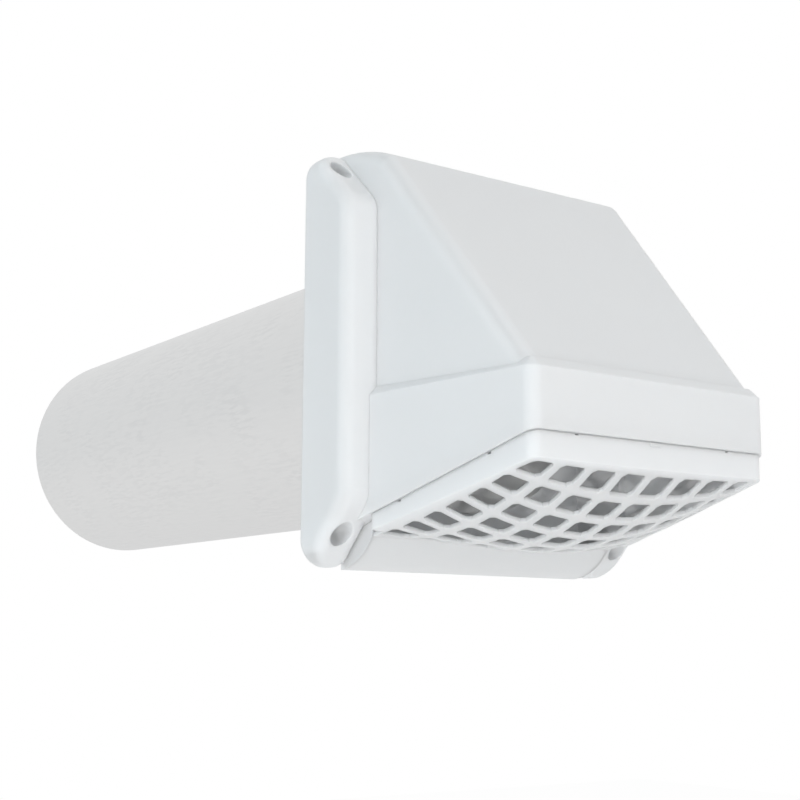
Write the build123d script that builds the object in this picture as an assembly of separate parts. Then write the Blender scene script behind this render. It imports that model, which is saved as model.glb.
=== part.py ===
from build123d import *
import os
from math import atan, cos, hypot, sin, sqrt

# Wall vent hood with a wide mouth, a snap-in guard grille, a damper flap and a tail pipe.
# Millimetres. The origin is the duct's axis on the wall plane. +Y goes into the wall along
# the pipe, the hood looks along -Y, and +Z is up. Depths are distances out from the wall.

# Tail pipe
pipe_diameter = 101.6
pipe_wall = 0.5
pipe_length = 298.0
pipe_seam_width = 0.9
pipe_seam_depth = 0.2
pipe_seam_angle = 118.0

# Collar that the pipe slides over. The pipe stands off the wall plane by a gap.
collar_length = 30.0
collar_wall = 2.2
collar_clearance = 0.05
pipe_wall_gap = 2.5

# Damper flap and its hinge
seat_width = 2.0
seat_height = 2.0
flap_overlap = 1.6
flap_foot_drop = 1.5
flap_thickness = 1.5
flap_seat_gap = 0.2
hinge_rise = 5.95
hinge_pin_radius = 1.5
hinge_pin_clearance = 0.05
knuckle_radius = 2.2
ear_thickness = 2.15
ear_side_gap = 0.5
ear_end_gap = 0.3
ear_radius = 3.6

# Wall flange: two hollow side bars with sloped, rounded ends, and a plate between them
plastic_wall = 2.2
bar_width = 13.5
flange_depth = 26.0
bar_outer_corner = 9.5
bar_inner_corner = 5.5
bar_edge_radius = 4.5
bar_end_slope = 21.0
bar_end_radius = 10.0
plate_thickness = 2.5
plate_bottom_gap = 2.0

# Screw holes through the bars' ends
screw_side_inset = 6.75
screw_spacing_z = 128.0
screw_top_margin = 7.5
screw_bottom_margin = 10.5
screw_hole_diameter = 7.5
screw_boss_width = 11.5

# Upper hood: arched top, sloped front, side walls that close in towards the front
hood_headroom = 18.3
hood_brow_drop = 7.0
hood_top_radius = 66.0
slope_top_depth = 28.4
slope_foot_depth = 98.0
slope_foot_drop = 17.0
hood_front_width = 101.0
hood_edge_radius = 6.0

# Skirt round the mouth
skirt_step_back = 3.2
skirt_step_front = 0.9
skirt_front_proud = 2.0
skirt_top_drop = 14.5
skirt_chamfer = 3.2
skirt_corner_radius = 4.5
seam_front_drop = 36.7
seam_slope = 0.284

# Guard grille
guard_inset = 0.8
guard_seam_gap = 0.15
guard_clearance = 0.3
guard_rim_drop = 45.2
guard_rim_slope = 0.243
guard_tongue_height = 4.0
guard_tongue_wall = 1.6
guard_bar_gap = 0.6
lattice_thickness = 1.4
lattice_bulge = 12.2
lattice_back_depth = 20.0
lattice_columns = 8
lattice_rows = 7
lattice_side_margin_front = 0.6
lattice_side_margin_back = 4.9
lattice_front_margin = 1.8
lattice_back_margin = 2.6
lattice_bar_x = 2.9
lattice_bar_y = 2.5
hole_corner_cut = 1.3
apron_bottom_margin = 11.0
apron_radius = 26.0
apron_wall_gap = 0.4
snap_slot_length = 1.6
snap_slot_height = 0.8
snap_side_depths = (40.0, 81.0)
snap_front_spacing = 66.0
pry_tab_width = 4.5
pry_tab_height = 1.2
pry_tab_proud = 0.3
pry_tab_gap = 0.4

# Sizes that follow from the ones above
duct_radius = pipe_diameter / 2 - pipe_wall - collar_clearance - collar_wall
collar_radius = duct_radius + collar_wall
seat_radius = duct_radius + seat_width
seat_depth = plate_thickness + seat_height
flap_half_width = seat_radius + flap_overlap
flap_back_depth = seat_depth + flap_seat_gap
hinge_depth = flap_back_depth + knuckle_radius
hinge_height = seat_radius + hinge_rise
ear_inner_x = flap_half_width + ear_side_gap
bar_inner_x = ear_inner_x + ear_thickness
hood_back_width = 2 * (bar_inner_x + plastic_wall)
flange_width = hood_back_width + 2 * bar_width
flange_top = screw_spacing_z / 2 + screw_top_margin
flange_bottom = screw_spacing_z / 2 + screw_bottom_margin
screw_x = flange_width / 2 - screw_side_inset
hood_top = hinge_height + hood_headroom
hood_brow = hood_top - hood_brow_drop
skirt_back_width = hood_back_width + 2 * skirt_step_back
skirt_front_width = hood_front_width + 2 * skirt_step_front
skirt_depth = slope_foot_depth + skirt_front_proud
apron_bottom = screw_spacing_z / 2 + apron_bottom_margin
FAR = 4 * skirt_depth


def plan_prism(points, low, high):
    """A prism on a plan outline of (x, depth) points, between two heights."""
    outline = make_face(Polyline([(x, -depth) for x, depth in points], close=True))
    return Pos(0, 0, low) * extrude(outline, high - low)


def side_prism(points, width):
    """A prism on a side outline of (depth, height) points, across a width centred on X = 0."""
    outline = Plane.YZ * make_face(Polyline([(-depth, height) for depth, height in points], close=True))
    return extrude(outline, width / 2, both=True)


def mirrored(shape):
    """A left-hand shape and its right-hand twin."""
    return shape + mirror(shape, Plane.YZ)


def bar_form(inset):
    """The right bar drawn in by an inset. Its front slopes back at both ends. Inside, it is plain."""
    near, far = bar_inner_x + inset, flange_width / 2 - inset
    high, low, depth = flange_top - inset, -flange_bottom + inset, flange_depth - inset
    slope = bar_end_slope - inset * (2 - sqrt(2))
    outline = Pos((near + far) / 2, (high + low) / 2) * Rectangle(far - near, high - low)
    profile = make_face(Polyline(
        [(1, low - depth + slope - 1), (1, high + depth - slope + 1),
         (-depth, high - slope), (-depth, low + slope)],
        close=True,
    ))
    if inset == 0:
        outline = fillet(outline.vertices().sort_by(Axis.X)[:2], bar_inner_corner)
        outline = fillet(outline.vertices().sort_by(Axis.X)[-2:], bar_outer_corner)
        profile = fillet(profile.vertices().sort_by(Axis.X)[:2], bar_end_radius)
    else:
        outline = chamfer(outline.vertices(), inset)
    form = extrude(Plane.XZ * outline, 2 * depth, both=True) & extrude(Plane.YZ * profile, flange_width)
    return form - Pos(0, FAR / 2, 0) * Box(FAR, FAR, FAR)


def front_rim(form, high, low):
    """The edges all round the front of a bar, where it meets its outline."""
    def on_rim(edge):
        box, centre = edge.bounding_box().size, edge.center()
        across = box.X > 0.1 and box.Y < 0.1 and box.Z < 0.1
        into = box.Y > 0.1 and box.X < 0.1 and box.Z < 0.1
        at_end = centre.Z > high - 0.01 or centre.Z < low + 0.01
        return centre.Y < -1 and not into and (at_end or not across)

    return form.edges().filter_by(on_rim)


def upper_hood(inset, back_depth, front_depth):
    """The upper hood's form drawn in by an inset, between a back and a front depth."""
    taper = (hood_back_width - hood_front_width) / 2 / (slope_foot_depth - flange_depth)
    front = hood_front_width / 2 - inset - taper * (FAR - slope_foot_depth)
    back = front + taper * (FAR - back_depth)
    run = (slope_foot_depth - slope_top_depth) / (hood_brow + slope_foot_drop)
    low = -2 * flange_bottom
    arch = RadiusArc((0, hood_top), (-slope_top_depth, hood_brow), -hood_top_radius)
    profile = make_face(arch + Polyline(
        (-slope_top_depth, hood_brow), (-slope_top_depth - (hood_brow - low) * run, low),
        (FAR, low), (FAR, hood_top), (0, hood_top),
    ))
    if inset > 0:
        profile = offset(profile, -inset, kind=Kind.INTERSECTION)
    plan = plan_prism([(-back, back_depth), (-front, FAR), (front, FAR), (back, back_depth)], -FAR, FAR)
    form = extrude(Plane.YZ * profile, flange_width, both=True) & plan

    def on_top(edge):
        box, centre = edge.bounding_box().size, edge.center()
        along_side = box.Y > 1 and box.Z > 1
        brow = box.X > 1 and box.Z < 0.1 and abs(centre.Z - hood_brow) < 1
        return along_side or (brow and centre.Y < -back_depth - 1)

    if inset == 0:
        form = fillet(form.edges().filter_by(on_top), hood_edge_radius)
    return form - Pos(0, -front_depth - FAR / 2, 0) * Box(FAR, FAR, FAR)


def skirt_plan(inset, back_depth, low, high):
    """The mouth's plan outline drawn in by an inset, with rounded front corners, as a prism."""
    taper = (skirt_back_width - skirt_front_width) / 2 / (skirt_depth - flange_depth)
    front = skirt_front_width / 2 - inset
    depth = skirt_depth - inset
    back = front + taper * (depth - back_depth)
    prism = plan_prism([(-back, back_depth), (-front, depth), (front, depth), (back, back_depth)], low, high)
    corners = prism.edges().filter_by(Axis.Z).sort_by(Axis.Y)[:2]
    return fillet(corners, skirt_corner_radius - min(inset, skirt_corner_radius / 2))


def below_plane(front_drop, slope):
    """All that lies below the plane which falls from the mouth's front towards the wall."""
    def height(depth):
        return -front_drop - slope * (skirt_depth - depth)

    points = [(-FAR, height(-FAR)), (FAR, height(FAR)), (FAR, -FAR), (-FAR, -FAR)]
    return side_prism(points, FAR)


def cylinder_y(radius, x, height, depth_from, depth_to):
    """A round bar along Y between two depths."""
    disc = Plane.XZ * Pos(x, height) * Circle(radius)
    return Pos(0, -depth_from, 0) * extrude(disc, depth_to - depth_from)


def cylinder_x(radius, depth, height, x_from, x_to):
    """A round bar along X."""
    disc = Plane.YZ * Pos(-depth, height) * Circle(radius)
    return Pos(x_from, 0, 0) * extrude(disc, x_to - x_from)


def hood_body():
    """The white moulding: flange bars, plate, collar, seat, hinge ears, upper hood and skirt."""
    skirt = skirt_plan(0, plate_thickness, -FAR, -skirt_top_drop)
    rim = skirt.faces().sort_by(Axis.Z)[-1].edges().filter_by(lambda e: e.center().Y < -plate_thickness - 0.01)
    skirt = chamfer(rim, skirt_chamfer)
    hood = upper_hood(0, 0, slope_foot_depth) + skirt
    hood -= below_plane(seam_front_drop, seam_slope)

    bar = bar_form(0)
    bar = fillet(front_rim(bar, flange_top, -flange_bottom), bar_edge_radius)
    channel = bar_form(plastic_wall)
    boss = Part()
    drill = Part()
    for height in (-screw_spacing_z / 2, screw_spacing_z / 2):
        boss += Pos(screw_x, 0, height) * Box(screw_boss_width, 2 * flange_depth, screw_boss_width)
        drill += cylinder_y(screw_hole_diameter / 2, screw_x, height, -1, flange_depth + 1)

    body = hood + mirrored(bar)
    plate_bottom = flange_bottom - plate_bottom_gap
    plate_top = hood_top - plastic_wall / 2
    body += side_prism(
        [(0, -plate_bottom), (plate_thickness, -plate_bottom), (plate_thickness, plate_top), (0, plate_top)],
        2 * bar_inner_x + plastic_wall,
    )
    skirt_inside = skirt_plan(plastic_wall, flange_depth, -FAR, -skirt_top_drop - skirt_chamfer)
    inside = upper_hood(plastic_wall, plate_thickness, skirt_depth - plastic_wall)
    inside = inside & Box(2 * bar_inner_x, FAR, FAR)
    inside += skirt_inside
    body -= inside
    body -= mirrored(channel - boss)
    body -= mirrored(drill)

    body += cylinder_y(collar_radius, 0, 0, -collar_length, 0)
    body += cylinder_y(seat_radius, 0, 0, plate_thickness / 2, seat_depth)
    body -= cylinder_y(duct_radius, 0, 0, -collar_length - 1, seat_depth + 1)

    ear_x = bar_inner_x + plastic_wall / 2
    ear = cylinder_x(ear_radius, hinge_depth, hinge_height, ear_inner_x, ear_x)
    ear += Pos((ear_inner_x + ear_x) / 2, -hinge_depth / 2, hinge_height) * Box(
        ear_x - ear_inner_x, hinge_depth, 2 * ear_radius)
    ear -= cylinder_x(hinge_pin_radius + hinge_pin_clearance, hinge_depth, hinge_height,
                      ear_inner_x - 1, bar_inner_x)
    return body + mirrored(ear)


def damper_flap():
    """The flap: a plate with a round foot that covers the seat, and a knuckle with two pins."""
    tall = hinge_height + flap_foot_drop
    outline = Pos(0, tall / 2) * Rectangle(2 * flap_half_width, tall) + Circle(flap_half_width)
    outline = Pos(0, -flap_foot_drop) * outline
    plate = Pos(0, -flap_back_depth, 0) * extrude(Plane.XZ * outline, flap_thickness)
    plate -= Pos(0, 0, hinge_height + FAR / 2) * Box(FAR, FAR, FAR)
    knuckle = cylinder_x(knuckle_radius, hinge_depth, hinge_height, -flap_half_width, flap_half_width)
    pin_end = bar_inner_x - ear_end_gap
    pins = cylinder_x(hinge_pin_radius, hinge_depth, hinge_height, -pin_end, pin_end)
    return plate + knuckle + pins


def lattice():
    """The pillow-shaped grille: a bulged sheet with rows of oblong holes, cut to the rim's plan."""
    def chord(x, depth, drop=0.0):
        return (x, -depth, -guard_rim_drop - guard_rim_slope * (skirt_depth - depth) - drop)

    middle_depth = (skirt_depth + lattice_back_depth) / 2
    front, back = skirt_front_width / 2, skirt_back_width / 2
    middle = (front + back) / 2
    sheet = Face.make_bezier_surface([
        [chord(-front, skirt_depth), chord(0, skirt_depth), chord(front, skirt_depth)],
        [chord(-middle, middle_depth), chord(0, middle_depth, 4 * lattice_bulge), chord(middle, middle_depth)],
        [chord(-back, lattice_back_depth), chord(0, lattice_back_depth), chord(back, lattice_back_depth)],
    ])
    tilt = atan(guard_rim_slope)
    slab = Part() + Solid.extrude(sheet, Vector(0, sin(tilt), cos(tilt)) * lattice_thickness)
    slab &= skirt_plan(guard_inset, lattice_back_depth - 1, -FAR, FAR)

    pitch_front = (skirt_front_width - 2 * lattice_side_margin_front) / lattice_columns
    pitch_back = (skirt_back_width - 2 * lattice_side_margin_back) / lattice_columns
    first_depth = skirt_depth - lattice_front_margin
    pitch_y = (first_depth - lattice_back_depth - lattice_back_margin) / lattice_rows
    holes = []
    for row in range(lattice_rows):
        pitch_x = pitch_front + (pitch_back - pitch_front) * row / (lattice_rows - 1)
        hole = Rectangle(pitch_x - lattice_bar_x, pitch_y - lattice_bar_y)
        hole = chamfer(hole.vertices(), hole_corner_cut)
        for column in range(lattice_columns):
            x = (column - (lattice_columns - 1) / 2) * pitch_x
            holes.append(Pos(x, -first_depth + (row + 0.5) * pitch_y, -FAR / 2) * extrude(hole, FAR))
    return slab - holes


def guard():
    """The snap-in guard: rim, tongue inside the skirt, bulged grille and rounded bottom bar."""
    back_depth = lattice_back_depth
    over = seam_front_drop + guard_seam_gap
    under_rim = below_plane(guard_rim_drop, guard_rim_slope)
    tongue_inset = plastic_wall + guard_clearance
    hollow = skirt_plan(tongue_inset + guard_tongue_wall, -1, -FAR, FAR)

    rim = skirt_plan(guard_inset, back_depth, -FAR / 2, 0) & below_plane(over, seam_slope)
    tongue = skirt_plan(tongue_inset, flange_depth + guard_bar_gap, -FAR / 2, 0)
    tongue &= below_plane(seam_front_drop - guard_tongue_height, seam_slope)
    frame = rim + tongue - hollow - under_rim

    for depth in snap_side_depths:
        height = -over - seam_slope * (skirt_depth - depth)
        frame -= Pos(0, -depth, height) * (
            Box(FAR, snap_slot_length, 2 * snap_slot_height)
            - Box(skirt_front_width - 2 * tongue_inset, FAR, FAR))
    for x in (-snap_front_spacing / 2, snap_front_spacing / 2):
        frame -= Pos(x, -skirt_depth, -over) * Box(
            snap_slot_length, 2 * (tongue_inset - guard_inset / 2), 2 * snap_slot_height)
    frame += Pos(0, -skirt_depth + guard_inset, -over - pry_tab_gap - pry_tab_height / 2) * Box(
        pry_tab_width, 2 * pry_tab_proud, pry_tab_height)

    chord_back = -guard_rim_drop - guard_rim_slope * (skirt_depth - back_depth)
    foot = (-apron_wall_gap, -apron_bottom)
    top = (-back_depth, chord_back)
    inner_top = (-back_depth + plastic_wall, chord_back)
    inner_foot = (-apron_wall_gap, -apron_bottom + plastic_wall)
    apron_profile = make_face(
        RadiusArc(top, foot, -apron_radius)
        + Line(foot, inner_foot)
        + RadiusArc(inner_foot, inner_top, apron_radius - plastic_wall)
        + Polyline(inner_top, (inner_top[0], chord_back + lattice_thickness),
                   (top[0], chord_back + lattice_thickness), top)
    )
    apron = extrude(Plane.YZ * apron_profile, bar_inner_x - guard_bar_gap, both=True)

    ends = Pos(bar_inner_x - guard_bar_gap + FAR / 2, 0, 0) * Box(FAR, 2 * (flange_depth + guard_bar_gap), FAR)
    return frame + lattice() + apron - mirrored(ends)


def tail_pipe():
    """The thin aluminium pipe, rolled from sheet, with the fine line of its flush seam outside."""
    radius = pipe_diameter / 2
    tube = cylinder_y(radius, 0, 0, -pipe_length, -pipe_wall_gap)
    tube -= cylinder_y(radius - pipe_wall, 0, 0, -pipe_length - 1, 1)
    line = Pos(radius, 0, 0) * Box(2 * pipe_seam_depth, 2 * (pipe_length + 1), pipe_seam_width)
    return tube - Rot(0, -pipe_seam_angle, 0) * line


os.makedirs("parts", exist_ok=True)
export_step(hood_body(), "parts/hood_body.step")
export_step(guard(), "parts/guard.step")
export_step(damper_flap(), "parts/damper_flap.step")
export_step(tail_pipe(), "parts/tail_pipe.step")
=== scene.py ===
import math
import bpy
from mathutils import Matrix, Vector


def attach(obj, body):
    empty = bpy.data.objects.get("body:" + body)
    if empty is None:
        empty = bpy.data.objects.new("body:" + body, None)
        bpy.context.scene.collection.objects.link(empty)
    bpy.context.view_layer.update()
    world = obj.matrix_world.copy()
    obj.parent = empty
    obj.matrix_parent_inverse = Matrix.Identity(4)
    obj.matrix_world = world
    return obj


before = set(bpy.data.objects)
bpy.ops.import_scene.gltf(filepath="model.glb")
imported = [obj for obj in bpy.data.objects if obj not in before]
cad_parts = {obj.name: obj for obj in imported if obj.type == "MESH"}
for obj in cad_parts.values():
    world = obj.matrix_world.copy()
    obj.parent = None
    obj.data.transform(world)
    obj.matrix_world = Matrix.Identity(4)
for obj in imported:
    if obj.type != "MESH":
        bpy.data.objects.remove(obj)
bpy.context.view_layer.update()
scene = bpy.context.scene
scene.view_settings.view_transform = "Standard"


# Viewpoint: the photograph looks up at the hood from its left and a little below its foot,
# through a lens of about 65 mm. The place and turn come from the hood's own edges.
VIEW_AZIMUTH = math.radians(-35.21)
VIEW_ELEVATION = math.radians(-9.7)
VIEW_ROLL = math.radians(0.27)
VIEW_PLACE = Vector((-0.3270, -0.4226, -0.1012))
VIEW_FOCAL_PIXELS = 1445.1
VIEW_PIXELS = 800
SENSOR_MM = 36.0

back = Vector((
    math.sin(VIEW_AZIMUTH) * math.cos(VIEW_ELEVATION),
    -math.cos(VIEW_AZIMUTH) * math.cos(VIEW_ELEVATION),
    math.sin(VIEW_ELEVATION),
))
level_right = Vector((math.cos(VIEW_AZIMUTH), math.sin(VIEW_AZIMUTH), 0.0))
level_up = back.cross(level_right)
right = math.cos(VIEW_ROLL) * level_right + math.sin(VIEW_ROLL) * level_up
up = math.cos(VIEW_ROLL) * level_up - math.sin(VIEW_ROLL) * level_right
camera_data = bpy.data.cameras.new("viewpoint")
camera_data.sensor_width = SENSOR_MM
camera_data.lens = VIEW_FOCAL_PIXELS / VIEW_PIXELS * SENSOR_MM
camera = bpy.data.objects.new("viewpoint", camera_data)
camera.matrix_world = Matrix.Translation(VIEW_PLACE) @ Matrix((right, up, back)).transposed().to_4x4()
scene.collection.objects.link(camera)
scene.camera = camera


# Hood body: one injection moulding in white polypropylene, which makes the flange bars, the sloped
# hood and the skirt. It comes from a spark-eroded mould, so it has a fine satin grain all over.
class Signal:
    """One output of a material's nodes. Arithmetic on it adds Math nodes."""

    def __init__(self, tree, socket=None):
        self.tree = tree
        self.socket = socket

    def node(self, kind, settings, sockets, output=0):
        """Adds a node of a kind: its settings first, then the values or links of its sockets."""
        made = self.tree.nodes.new(kind)
        for name, value in settings.items():
            if name == "stops":
                ramp = made.color_ramp.elements
                while len(ramp) < len(value):
                    ramp.new(1.0)
                for element, (place, level) in zip(ramp, value):
                    element.position = place
                    element.color = (level, level, level, 1.0)
            else:
                setattr(made, name, value)
        for name, value in sockets.items():
            if isinstance(value, Signal):
                self.tree.links.new(value.socket, made.inputs[name])
            else:
                made.inputs[name].default_value = value
        return Signal(self.tree, made.outputs[output])

    def maths(self, operation, first, second):
        return self.node("ShaderNodeMath", {"operation": operation}, {0: first, 1: second})

    def __add__(self, other):
        return self.maths("ADD", self, other)

    def __radd__(self, other):
        return self.maths("ADD", other, self)

    def __sub__(self, other):
        return self.maths("SUBTRACT", self, other)

    def __rsub__(self, other):
        return self.maths("SUBTRACT", other, self)

    def __mul__(self, other):
        return self.maths("MULTIPLY", self, other)

    def __rmul__(self, other):
        return self.maths("MULTIPLY", other, self)

    def noise(self, place, scale, detail):
        settings = {"noise_dimensions": "3D"}
        sockets = {"Vector": place, "Scale": scale, "Detail": detail}
        return self.node("ShaderNodeTexNoise", settings, sockets, "Fac")

    def blend(self, share, first, second):
        settings = {"data_type": "RGBA"}
        return self.node("ShaderNodeMix", settings, {"Factor": share, 6: first, 7: second}, 2)


def start_material(name):
    """An empty material, with its nodes and the place on the piece in metres."""
    material = bpy.data.materials.new(name)
    material.use_nodes = True
    material.node_tree.nodes.clear()
    nodes = Signal(material.node_tree)
    place = nodes.node("ShaderNodeTexCoord", {}, {}, "Object")
    return material, nodes, place


def end_material(nodes, surface):
    """Joins a finished surface to the material's output."""
    output = nodes.tree.nodes.new("ShaderNodeOutputMaterial")
    nodes.tree.links.new(surface.socket, output.inputs["Surface"])


MOULD_EDGE = 0.0005
MOULD_MILKINESS = 0.8
MOULD_DEPTH = 0.0045
MOULD_BLEED = (0.95, 0.98, 1.0)
MOULD_IOR = 1.49
CLOUDS_PER_METRE = 14.0
SMEARS_PER_METRE = 60.0
GRAINS_PER_METRE = 2600.0
SMEAR_ROUGHNESS = 0.10
GRAIN_ROUGHNESS = 0.06
GRAIN_STRENGTH = 0.10
GRAIN_DEPTH = 0.0001


def moulded_plastic(name, pale, shade, gloss):
    """Milky white plastic: cloudy tone from the melt's flow, a fine satin grain and soft edges."""
    material, nodes, place = start_material(name)
    clouds = nodes.noise(place, CLOUDS_PER_METRE, 3.0)
    grain = nodes.noise(place, GRAINS_PER_METRE, 2.0)
    smears = nodes.noise(place, SMEARS_PER_METRE, 4.0)
    colour = nodes.blend(clouds, shade, pale)
    roughness = gloss + SMEAR_ROUGHNESS * smears + GRAIN_ROUGHNESS * grain
    soft_edge = nodes.node("ShaderNodeBevel", {"samples": 6}, {"Radius": MOULD_EDGE})
    bump = nodes.node("ShaderNodeBump", {}, {
        "Strength": GRAIN_STRENGTH, "Distance": GRAIN_DEPTH, "Height": grain, "Normal": soft_edge,
    })
    surface = nodes.node("ShaderNodeBsdfPrincipled", {}, {
        "Base Color": colour, "Roughness": roughness, "Normal": bump, "IOR": MOULD_IOR,
        "Subsurface Weight": MOULD_MILKINESS, "Subsurface Radius": MOULD_BLEED,
        "Subsurface Scale": MOULD_DEPTH,
    })
    end_material(nodes, surface)
    return material


def dress(node, material):
    """Gives a piece of the frame a material in every slot it has."""
    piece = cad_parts[node]
    if not piece.material_slots:
        piece.data.materials.append(material)
    for slot in piece.material_slots:
        slot.material = material


HOOD_PALE = (0.82, 0.82, 0.82, 1.0)
HOOD_SHADE = (0.79, 0.79, 0.795, 1.0)
HOOD_GLOSS = 0.30
dress("hood_body", moulded_plastic("satin_white_plastic", HOOD_PALE, HOOD_SHADE, HOOD_GLOSS))


# Guard: a second white moulding, of the same plastic but from its own mould. Its bulged lattice
# and rounded bottom bar snap into the mouth of the hood by a tongue. A thin web closes each end
# of the bottom bar.
GUARD_PALE = (0.83, 0.83, 0.83, 1.0)
GUARD_SHADE = (0.80, 0.80, 0.805, 1.0)
GUARD_GLOSS = 0.28
guard_plastic = moulded_plastic("guard_white_plastic", GUARD_PALE, GUARD_SHADE, GUARD_GLOSS)
dress("guard", guard_plastic)

WEB_OUTER = 0.05422
WEB_THICK = 0.0019
WEB_TOP_FRONT = (-0.0200, -0.0580)
WEB_TOP_BACK = (-0.0028, -0.0620)
BAR_TOP = Vector((-0.0200, -0.0646))
BAR_FOOT = Vector((-0.0004, -0.0750))
BAR_RADIUS = 0.0260
BAR_SKIN = 0.00003
BAR_STEPS = 14


def bottom_bar_curve():
    """Points (y, z) just inside the bottom bar's rounded outer face, from its top to the web's back."""
    chord = BAR_FOOT - BAR_TOP
    inwards = Vector((-chord.y, chord.x)).normalized()
    centre = (BAR_TOP + BAR_FOOT) / 2 + inwards * math.sqrt(BAR_RADIUS ** 2 - chord.length_squared / 4)
    points = []
    for step in range(BAR_STEPS + 1):
        spoke = BAR_TOP.lerp(BAR_FOOT, step / BAR_STEPS) - centre
        point = centre + spoke.normalized() * (BAR_RADIUS - BAR_SKIN)
        if point.x < WEB_TOP_BACK[0]:
            points.append((point.x, point.y))
    return points


def end_web(name, outer, inner):
    """A flat web across the end of the bottom bar, between two places along X."""
    outline = [WEB_TOP_FRONT] + bottom_bar_curve() + [WEB_TOP_BACK]
    count = len(outline)
    corners = [(x, y, z) for x in (outer, inner) for y, z in outline]
    faces = [tuple(range(count)), tuple(reversed(range(count, 2 * count)))]
    for corner in range(count):
        following = (corner + 1) % count
        faces.append((following, corner, corner + count, following + count))
    mesh = bpy.data.meshes.new(name)
    mesh.from_pydata(corners, [], faces)
    mesh.materials.append(guard_plastic)
    web = bpy.data.objects.new(name, mesh)
    scene.collection.objects.link(web)
    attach(web, "hood")


end_web("left_end_web", -WEB_OUTER, -WEB_OUTER + WEB_THICK)
end_web("right_end_web", WEB_OUTER, WEB_OUTER - WEB_THICK)


# Damper flap: a thin white moulding that hangs on two pins inside the hood and closes the duct
# by its own weight. It has seen lint, so it is a little greyer than the hood.
FLAP_PALE = (0.78, 0.78, 0.77, 1.0)
FLAP_SHADE = (0.72, 0.72, 0.71, 1.0)
FLAP_GLOSS = 0.38
dress("damper_flap", moulded_plastic("flap_white_plastic", FLAP_PALE, FLAP_SHADE, FLAP_GLOSS))


# Tail pipe: thin aluminium sheet in its mill finish, rolled to a tube and locked along one seam.
# The rolling leaves a fine grain along the pipe, and handling leaves dull flecks in worn patches.
ROLLED_BRIGHT = (0.820, 0.820, 0.817, 1.0)
ROLLED_DULL = (0.670, 0.673, 0.675, 1.0)
ROLLED_SMOOTH = 0.30
ROLLED_GRAIN = 0.24
ROLLED_STRENGTH = 0.25
ROLLED_DEPTH = 0.002
STREAKS_PER_METRE = 900.0
STREAK_SQUEEZE = 0.05
FLECKS_PER_METRE = 620.0
FLECK_SQUEEZE = 0.20
PATCHES_PER_METRE = 38.0
WAVES_PER_METRE = 16.0
FLECK_STOPS = ((0.40, 1.0), (0.56, 0.0))
WORN_STOPS = ((0.38, 0.05), (0.66, 1.0))
material, nodes, place = start_material("mill_finish_aluminium")
lengthwise = nodes.node("ShaderNodeMapping", {}, {"Vector": place, "Scale": (1.0, STREAK_SQUEEZE, 1.0)})
streaks = nodes.noise(lengthwise, STREAKS_PER_METRE, 4.0)
stretched = nodes.node("ShaderNodeMapping", {}, {"Vector": place, "Scale": (1.0, FLECK_SQUEEZE, 1.0)})
specks = nodes.noise(stretched, FLECKS_PER_METRE, 4.0)
flecks = nodes.node("ShaderNodeValToRGB", {"stops": FLECK_STOPS}, {"Fac": specks})
patches = nodes.noise(place, PATCHES_PER_METRE, 2.0)
worn = nodes.node("ShaderNodeValToRGB", {"stops": WORN_STOPS}, {"Fac": patches})
waves = nodes.noise(place, WAVES_PER_METRE, 2.0)
grain = 0.35 * streaks + 0.55 - 0.45 * flecks * worn
colour = nodes.blend(grain, ROLLED_DULL, ROLLED_BRIGHT)
roughness = ROLLED_SMOOTH + ROLLED_GRAIN * grain
relief = 0.75 * waves + 0.03 * grain
bump = nodes.node("ShaderNodeBump", {}, {
    "Strength": ROLLED_STRENGTH, "Distance": ROLLED_DEPTH, "Height": relief,
})
surface = nodes.node("ShaderNodeBsdfPrincipled", {}, {
    "Base Color": colour, "Roughness": roughness, "Metallic": 1.0, "Normal": bump,
})
end_material(nodes, surface)
dress("tail_pipe", material)


# Studio: a plain pale floor well below the hood, which hangs on its wall screws, a white surround,
# and three lamps, at the left, in front from above, and a small one low at the left. Reflections
# don't show the lamps, so that the pipe keeps its tone from every side.
FLOOR_HEIGHT = -0.75
FLOOR_HALF = 5.0
FLOOR_COLOUR = (0.94, 0.94, 0.94, 1.0)
FLOOR_WHITE_SHARE = 0.97
FLOOR_MIRROR_SHARE = 1.0
WHITE = (1.0, 1.0, 1.0, 1.0)


def seen_directly(nodes, mirror_share):
    """One for the rays that show the surround itself, and a share of it for those of a reflection."""
    rays = nodes.tree.nodes.new("ShaderNodeLightPath").outputs
    camera_ray = Signal(nodes.tree, rays["Is Camera Ray"])
    glossy_ray = Signal(nodes.tree, rays["Is Glossy Ray"])
    through_ray = Signal(nodes.tree, rays["Is Transmission Ray"])
    return camera_ray + mirror_share * glossy_ray + through_ray


floor_mesh = bpy.data.meshes.new("floor")
floor_mesh.from_pydata(
    [(x, y, FLOOR_HEIGHT) for x, y in (
        (-FLOOR_HALF, -FLOOR_HALF), (FLOOR_HALF, -FLOOR_HALF),
        (FLOOR_HALF, FLOOR_HALF), (-FLOOR_HALF, FLOOR_HALF),
    )],
    [], [(0, 1, 2, 3)],
)
floor = bpy.data.objects.new("floor", floor_mesh)
scene.collection.objects.link(floor)
material, nodes, place = start_material("pale_floor")
matt = nodes.node("ShaderNodeBsdfDiffuse", {}, {"Color": FLOOR_COLOUR})
glow = nodes.node("ShaderNodeEmission", {}, {"Color": WHITE, "Strength": 1.0})
white_share = FLOOR_WHITE_SHARE * seen_directly(nodes, FLOOR_MIRROR_SHARE)
surface = nodes.node("ShaderNodeMixShader", {}, {0: white_share, 1: matt, 2: glow})
end_material(nodes, surface)
floor_mesh.materials.append(material)

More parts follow.
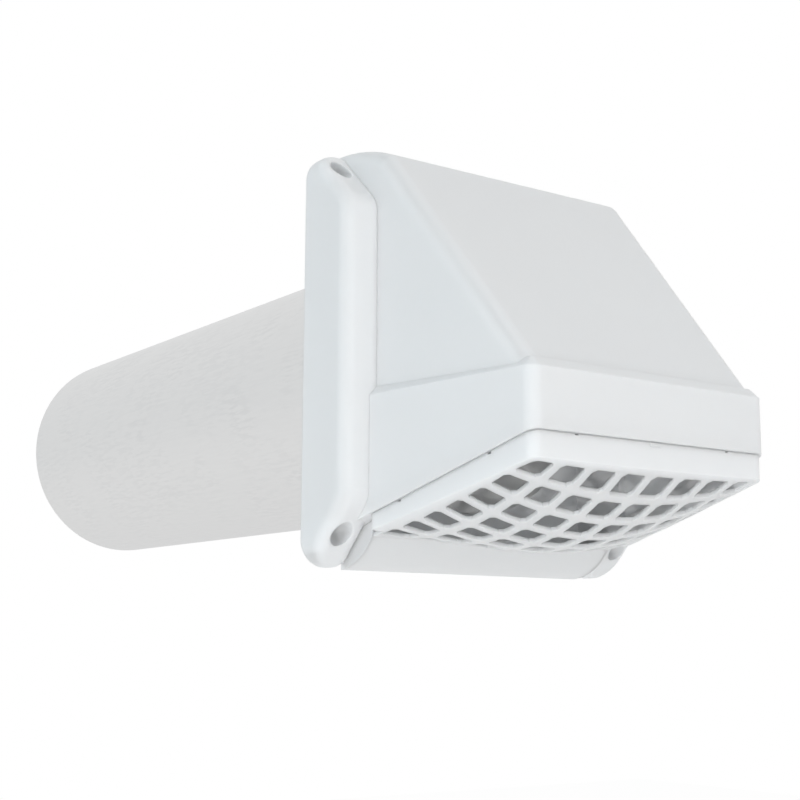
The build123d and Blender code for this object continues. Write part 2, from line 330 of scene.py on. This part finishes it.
AMBIENT = 0.68
SKY_MIRROR_SHARE = 0.82
LESS_FROM_ABOVE = 0.02
LEFT_TINT = (0.80, 0.94, 1.0, 1.0)
world = bpy.data.worlds.new("studio")
world.use_nodes = True
world.node_tree.nodes.clear()
nodes = Signal(world.node_tree)
towards = nodes.node("ShaderNodeTexCoord", {}, {}, "Generated")
across = nodes.node("ShaderNodeSeparateXYZ", {}, {"Vector": towards}, "X")
height = nodes.node("ShaderNodeSeparateXYZ", {}, {"Vector": towards}, "Z")
leftness = nodes.maths("MAXIMUM", -1.0 * across, 0.0)
tint = nodes.blend(leftness, WHITE, LEFT_TINT)
level = AMBIENT - LESS_FROM_ABOVE * height
fill = nodes.node("ShaderNodeBackground", {}, {"Color": tint, "Strength": level})
white = nodes.node("ShaderNodeBackground", {}, {"Color": WHITE, "Strength": 1.0})
white_share = seen_directly(nodes, SKY_MIRROR_SHARE)
surround = nodes.node("ShaderNodeMixShader", {}, {0: white_share, 1: fill, 2: white})
output = world.node_tree.nodes.new("ShaderNodeOutputWorld")
world.node_tree.links.new(surround.socket, output.inputs["Surface"])
scene.world = world


def soft_lamp(name, place, target, width, power, colour):
    """A square lamp at a place, turned to a target and left out of reflections."""
    data = bpy.data.lights.new(name, "AREA")
    data.size = width
    data.energy = power
    data.color = colour
    lamp = bpy.data.objects.new(name, data)
    lamp.visible_glossy = False
    lamp.location = place
    lamp.rotation_euler = (Vector(target) - Vector(place)).to_track_quat("-Z", "Y").to_euler()
    scene.collection.objects.link(lamp)


HOOD_MIDDLE = (0.0, -0.03, 0.0)
PALE_BLUE = (0.80, 0.91, 1.0)
PURE_WHITE = (1.0, 1.0, 1.0)
soft_lamp("left_lamp", (-1.4, -0.75, -0.20), HOOD_MIDDLE, width=1.0, power=2.0, colour=PALE_BLUE)
soft_lamp("front_lamp", (-0.25, -1.6, 0.80), HOOD_MIDDLE, width=1.2, power=6.2, colour=PURE_WHITE)
soft_lamp("low_lamp", (-0.75, -0.75, -0.55), HOOD_MIDDLE, width=0.03, power=3.2, colour=PURE_WHITE)
